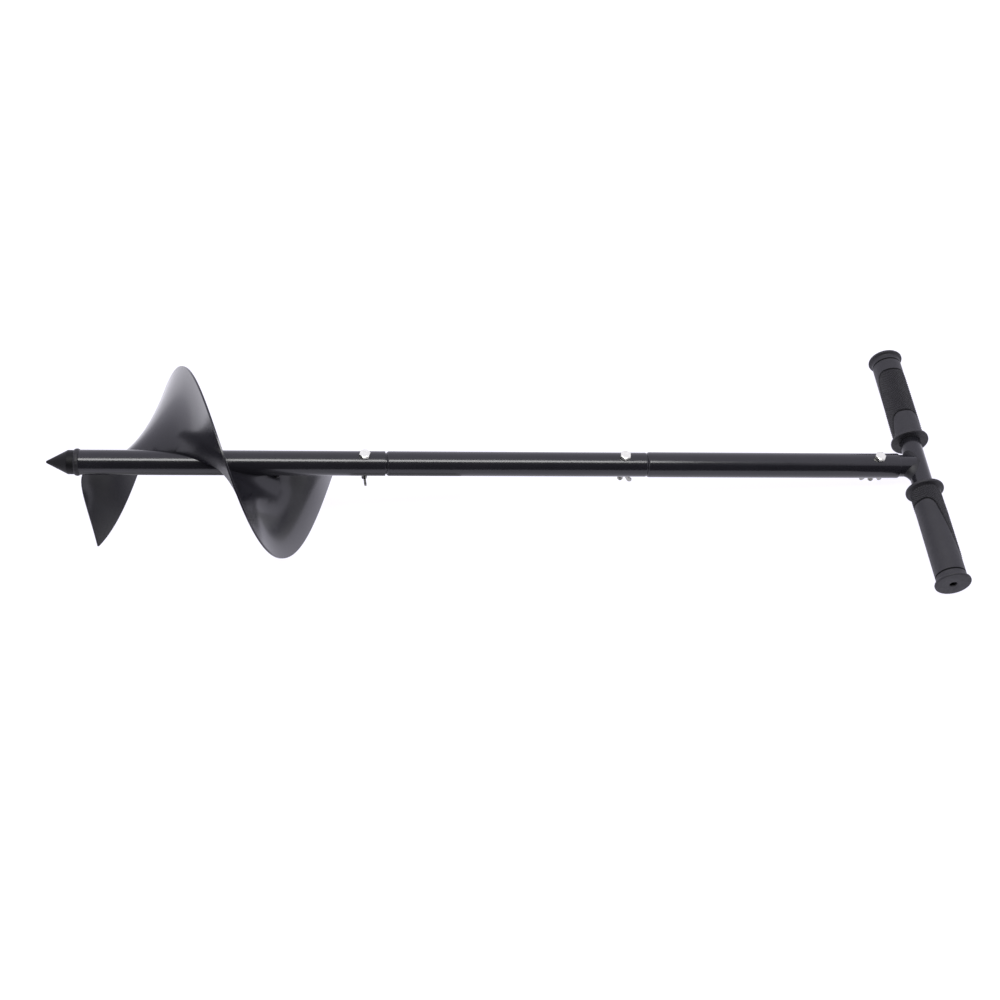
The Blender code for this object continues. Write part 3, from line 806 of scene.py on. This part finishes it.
def thread_radius(height, angle):
    """Radius of the thread, which fades out into the tail's rounded end."""
    wave = 0.5 + 0.5 * math.cos(math.tau * height / THREAD_PITCH - angle)
    fade = min(1.0, (height - BOLT_TAIL) / THREAD_PITCH - 0.5, (THREAD_TOP - height) / THREAD_PITCH)
    return BOLT_RADIUS - THREAD_DEPTH * wave * max(0.0, fade)


def bolt_mesh(name, seat, head_turn):
    """Bolt with a threaded tail and a chamfered hexagon head, about its own Z axis."""
    bm = bmesh.new()
    angles = [head_turn + math.tau * i / BOLT_SIDES for i in range(BOLT_SIDES)]

    def add_ring(heights, radii):
        return [bm.verts.new(axis_point("Z", h, r, a)) for h, r, a in zip(heights, radii, angles)]

    def level(value):
        return [value] * BOLT_SIDES

    rings = [[bm.verts.new((0.0, 0.0, BOLT_TAIL))]]
    thread_start = BOLT_TAIL + BOLT_TAIL_ROUNDING
    tail_centre = (thread_start, BOLT_RADIUS - BOLT_TAIL_ROUNDING)
    for height, radius in arc(tail_centre, BOLT_TAIL_ROUNDING, 180.0, 90.0, 5):
        rings.append(add_ring(level(height), level(radius)))
    steps = RINGS_PER_THREAD * round((THREAD_TOP - thread_start) / THREAD_PITCH)
    for i in range(1, steps + 1):
        height = thread_start + (THREAD_TOP - thread_start) * i / steps
        rings.append(add_ring(level(height), [thread_radius(height, a) for a in angles]))
    top = seat + HEAD_HEIGHT
    inset, lift = HEAD_UNDERCUT
    sides_of_head = [hexagon_radius(a, head_turn) for a in angles]
    top_edges = [top - (side - HEAD_FLAT_RADIUS) * HEAD_CHAMFER for side in sides_of_head]
    rings.append(add_ring(level(seat), level(BOLT_RADIUS)))
    rings.append(add_ring(level(seat), level(HEAD_ACROSS_FLATS / 2 - inset)))
    rings.append(add_ring(level(seat + lift), sides_of_head))
    rings.append(add_ring(top_edges, sides_of_head))
    rings.append(add_ring(level(top), level(HEAD_FLAT_RADIUS)))
    rings.append([bm.verts.new((0.0, 0.0, top))])
    bridge_rings(bm, rings)
    return mesh_from(name, bm, BOLT_SHARP_DEGREES)


def wing_nut_mesh(name):
    """Round body and two wings with round ears, each wing a little to one side of the axis."""
    bm = bmesh.new()
    body = [(0.0, BOLT_HOLE_RADIUS), (0.0, NUT_BASE_RADIUS),
            (-NUT_HEIGHT, NUT_TOP_RADIUS), (-NUT_HEIGHT, BOLT_HOLE_RADIUS)]
    rings = []
    for height, radius in body:
        rings.append([bm.verts.new(p) for p in ring_points("Z", height, radius, NUT_SIDES)])
    bridge_rings(bm, rings, closed_end=True)
    upper, lower = WING_ROOT_EDGES
    ear = arc(WING_EAR_CENTRE, WING_EAR_RADIUS, *WING_EAR_ANGLES, WING_EAR_STEPS)
    outline = [(WING_ROOT, upper), *ear, (WING_ROOT, lower)]
    for side in (1.0, -1.0):
        faces = []
        for across in (-WING_OFFSET - WING_THICKNESS / 2, -WING_OFFSET + WING_THICKNESS / 2):
            faces.append([bm.verts.new((side * along, side * across, up)) for along, up in outline])
        near, far = faces
        bm.faces.new(near)
        bm.faces.new(far)
        for i in range(len(outline)):
            bm.faces.new([near[i - 1], near[i], far[i], far[i - 1]])
    return mesh_from(name, bm)


def build_bolts(zinc, nut_zinc):
    for index, station in enumerate(BOLT_STATIONS):
        bolt, nut = f"bolt_{index + 1}", f"wing_nut_{index + 1}"
        place = Matrix.Translation((station, 0.0, 0.0))
        seat = TUBE_RADII[index] + GAP
        mesh = bolt_mesh(f"{bolt}_plated", seat, HEAD_TURNS[index])
        add_piece(f"{bolt}_plated", mesh, bolt, [bolt], zinc, place)
        turn = Matrix.Rotation(NUT_TURNS[index], 4, "Z")
        nut_place = Matrix.Translation((station, 0.0, -seat)) @ turn
        mesh = wing_nut_mesh(f"{nut}_plated")
        piece = add_piece(f"{nut}_plated", mesh, nut, [nut], nut_zinc, nut_place)
        round_edges(piece, WING_EDGE)


# --- studio --------------------------------------------------------------------------------------

def build_floor():
    material = shader_material("studio_floor", (0.12, 0.12, 0.12), 0.9, specular=0.0)
    shader = material.node_tree.nodes["Principled BSDF"]
    shader.inputs["Emission Color"].default_value = (1.0, 0.98, 1.12, 1.0)
    shader.inputs["Emission Strength"].default_value = FLOOR_GLOW
    bm = bmesh.new()
    bmesh.ops.create_grid(bm, x_segments=1, y_segments=1, size=FLOOR_HALF)
    mesh = bpy.data.meshes.new("studio_floor")
    bm.to_mesh(mesh)
    bm.free()
    floor = bpy.data.objects.new("studio_floor", mesh)
    floor.location.z = -FLOOR_DROP
    mesh.materials.append(material)
    bpy.context.scene.collection.objects.link(floor)


def build_flag(name, shade, corners):
    """A card hidden from the camera: a dark flag that keeps the white room or floor out of the reflections
    on one side, or a grey card on the floor that is a painted shadow of the tool.
    """
    material = shader_material(name, (shade, shade, shade), 1.0, specular=0.0)
    mesh = bpy.data.meshes.new(name)
    mesh.from_pydata(corners, [], [(0, 1, 2, 3)])
    mesh.materials.append(material)
    flag = bpy.data.objects.new(name, mesh)
    flag.visible_camera = False
    flag.visible_shadow = False
    bpy.context.scene.collection.objects.link(flag)


def build_softbox(name, place, target, size, energy):
    """A rectangular light at a place, facing a target, hidden from the camera."""
    light = bpy.data.lights.new(name, "AREA")
    light.shape = "RECTANGLE"
    light.size, light.size_y = size
    light.energy = energy
    lamp = bpy.data.objects.new(name, light)
    lamp.location = place
    lamp.rotation_euler = (Vector(target) - Vector(place)).to_track_quat("-Z", "Y").to_euler()
    lamp.visible_camera = False
    bpy.context.scene.collection.objects.link(lamp)


def floor_card(left, right, front, back):
    """Corners of a card that lies on the floor."""
    return [(left, front, 0.0), (right, front, 0.0), (right, back, 0.0), (left, back, 0.0)]


def build_flags():
    """Dark cards before and above the tool, a grey one beside the top card, and grey painted shadows under
    the flight: floor cards that stand in for the floor's shade, seen in its reflections.
    """
    front_right, back_right = TOP_CARD_RIGHT
    side_front, side_back = SIDE_CARD_RIGHT
    build_flag("flag_front", 0.01, [
        (ROOM_LEFT, ROOM_FRONT, 0.0), (ROOM_RIGHT, ROOM_FRONT, 0.0),
        (ROOM_RIGHT, ROOM_FRONT, ROOM_TOP), (ROOM_LEFT, ROOM_FRONT, ROOM_TOP)])
    build_flag("flag_top", 0.01, [
        (ROOM_LEFT, ROOM_FRONT, ROOM_TOP), (front_right, ROOM_FRONT, ROOM_TOP),
        (back_right, TOP_CARD_BACK, ROOM_TOP), (ROOM_LEFT, TOP_CARD_BACK, ROOM_TOP)])
    build_flag("flag_side", 0.35, [
        (front_right, ROOM_FRONT, ROOM_TOP), (side_front, ROOM_FRONT, ROOM_TOP),
        (side_back, TOP_CARD_BACK, ROOM_TOP), (back_right, TOP_CARD_BACK, ROOM_TOP)])
    build_flag("flag_foot", 0.01, floor_card(ROOM_LEFT, ROOM_RIGHT, ROOM_FRONT, FOOT_CARD_BACK))
    # painted shadow: grey floor cards, hidden from the camera, stand in for the floor's shade under the
    # flight in its reflections
    build_flag("painted_shadow_fin", 0.5, floor_card(-0.47, -0.25, -SHADOW_CARD_HALF, SHADOW_CARD_HALF))
    build_flag("painted_shadow_lobe", 0.45, floor_card(-0.17, -0.05, -SHADOW_CARD_HALF, SHADOW_CARD_HALF))


def build_studio():
    build_floor()
    build_flags()
    build_softbox("overhead_strip", (-0.02, -0.33, 1.6), (-0.02, -0.05, 0.0), (1.55, 0.42), 22.4)
    build_softbox("floor_bounce", (-0.56, 0.24, 0.001), (-0.56, 0.24, 1.0), (0.3, 0.4), 0.15)
    world = bpy.data.worlds.new("white_room")
    world.use_nodes = True
    background = world.node_tree.nodes["Background"]
    background.inputs["Color"].default_value = (1.0, 0.98, 1.13, 1.0)
    background.inputs["Strength"].default_value = 1.0
    bpy.context.scene.world = world
    bpy.context.scene.view_settings.view_transform = "Standard"


def build_camera():
    data = bpy.data.cameras.new("camera")
    data.lens = CAMERA_LENS
    data.sensor_width = 36.0
    data.clip_start = 0.05
    data.clip_end = 50.0
    camera = bpy.data.objects.new("camera", data)
    bpy.context.scene.collection.objects.link(camera)
    right = CAMERA_RIGHT.normalized()
    back = right.cross(CAMERA_UP).normalized()
    turn = Matrix((right, back.cross(right), back)).transposed().to_4x4()
    camera.matrix_world = SHAFT @ Matrix.Translation(CAMERA_PLACE) @ turn
    bpy.context.scene.camera = camera


def build_scene():
    coat = make_powder_coat()
    weld_coat = make_weld_coat()
    build_point(make_point_coat(), weld_coat)
    build_flight(coat, weld_coat)
    build_tubes(coat)
    build_handle(coat, weld_coat)
    build_grips(make_grip_rubber())
    build_bolts(make_zinc("bright_zinc", 0.82), make_zinc("nut_zinc", 0.34))
    build_studio()
    build_camera()


build_scene()
